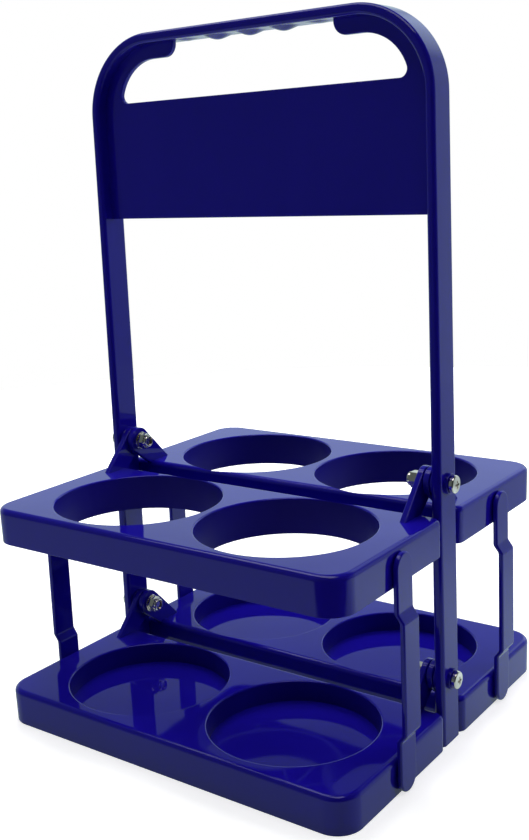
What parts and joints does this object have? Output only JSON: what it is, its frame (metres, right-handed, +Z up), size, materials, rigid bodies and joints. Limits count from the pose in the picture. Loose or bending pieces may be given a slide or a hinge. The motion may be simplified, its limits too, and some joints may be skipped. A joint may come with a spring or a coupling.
{
  "type": "folding bottle carrier",
  "caption": "Folding moulded carrier: a tall grip frame with hinged upper and lower half trays that hold sports bottles, tied by side links so they fold flat.",
  "frame": {"origin": "on the ground plane, midway between the two legs and midway between the front and rear trays", "axes": "+X across the carrier to its right side, +Y from the front trays to the rear trays, +Z up towards the grip"},
  "size_m": [0.2048, 0.1876, 0.3263],
  "materials": {
    "frame_moulding": "polished deep blue injection moulding",
    "tray_moulding": "polished deep blue injection moulding",
    "link_moulding": "polished deep blue injection moulding",
    "plated_steel": "bright plated steel"
  },
  "bodies": {
    "frame_and_screws": {"carry_frame": "frame_moulding", "upper_left_screw": "plated_steel", "upper_right_screw": "plated_steel", "lower_left_screw": "plated_steel", "lower_right_screw": "plated_steel", "upper_left_washer": "plated_steel", "upper_right_washer": "plated_steel", "lower_left_washer": "plated_steel", "lower_right_washer": "plated_steel", "upper_left_lock_nut": "plated_steel", "upper_right_lock_nut": "plated_steel", "lower_left_lock_nut": "plated_steel", "lower_right_lock_nut": "plated_steel"},
    "front_upper_tray": {"front_upper_tray": "tray_moulding"},
    "rear_upper_tray": {"rear_upper_tray": "tray_moulding"},
    "front_lower_tray": {"front_lower_tray": "tray_moulding"},
    "rear_lower_tray": {"rear_lower_tray": "tray_moulding"},
    "front_left_link": {"front_left_link": "link_moulding"},
    "front_right_link": {"front_right_link": "link_moulding"},
    "rear_left_link": {"rear_left_link": "link_moulding"},
    "rear_right_link": {"rear_right_link": "link_moulding"}
  },
  "joints": [
    {"name": "front_upper_hinge", "type": "hinge", "parent": "frame_and_screws", "child": "front_upper_tray", "pos_m": [0, 0, 0.121], "axis": [-1, 0, 0], "range_deg": [0, 92]},
    {"name": "front_lower_hinge", "type": "hinge", "parent": "frame_and_screws", "child": "front_lower_tray", "pos_m": [0, 0, 0.0302], "axis": [-1, 0, 0], "range_deg": [0, 92]},
    {"name": "front_left_link_pin", "type": "hinge", "parent": "front_upper_tray", "child": "front_left_link", "pos_m": [-0.0986, -0.048, 0.0984], "axis": [-1, 0, 0], "range_deg": [-92, 0]},
    {"name": "front_right_link_pin", "type": "hinge", "parent": "front_upper_tray", "child": "front_right_link", "pos_m": [0.0986, -0.048, 0.0984], "axis": [-1, 0, 0], "range_deg": [-92, 0]},
    {"name": "rear_upper_hinge", "type": "hinge", "parent": "frame_and_screws", "child": "rear_upper_tray", "pos_m": [0, 0, 0.121], "axis": [1, 0, 0], "range_deg": [0, 92]},
    {"name": "rear_lower_hinge", "type": "hinge", "parent": "frame_and_screws", "child": "rear_lower_tray", "pos_m": [0, 0, 0.0302], "axis": [1, 0, 0], "range_deg": [0, 92]},
    {"name": "rear_left_link_pin", "type": "hinge", "parent": "rear_upper_tray", "child": "rear_left_link", "pos_m": [-0.0986, 0.048, 0.0984], "axis": [1, 0, 0], "range_deg": [-92, 0]},
    {"name": "rear_right_link_pin", "type": "hinge", "parent": "rear_upper_tray", "child": "rear_right_link", "pos_m": [0.0986, 0.048, 0.0984], "axis": [1, 0, 0], "range_deg": [-92, 0]}
  ],
  "couplings": [
    {"joint": "front_lower_hinge", "follows": "front_upper_hinge", "ratio": 1},
    {"joint": "front_left_link_pin", "follows": "front_upper_hinge", "ratio": -1},
    {"joint": "front_right_link_pin", "follows": "front_upper_hinge", "ratio": -1},
    {"joint": "rear_lower_hinge", "follows": "rear_upper_hinge", "ratio": 1},
    {"joint": "rear_left_link_pin", "follows": "rear_upper_hinge", "ratio": -1},
    {"joint": "rear_right_link_pin", "follows": "rear_upper_hinge", "ratio": -1}
  ]
}
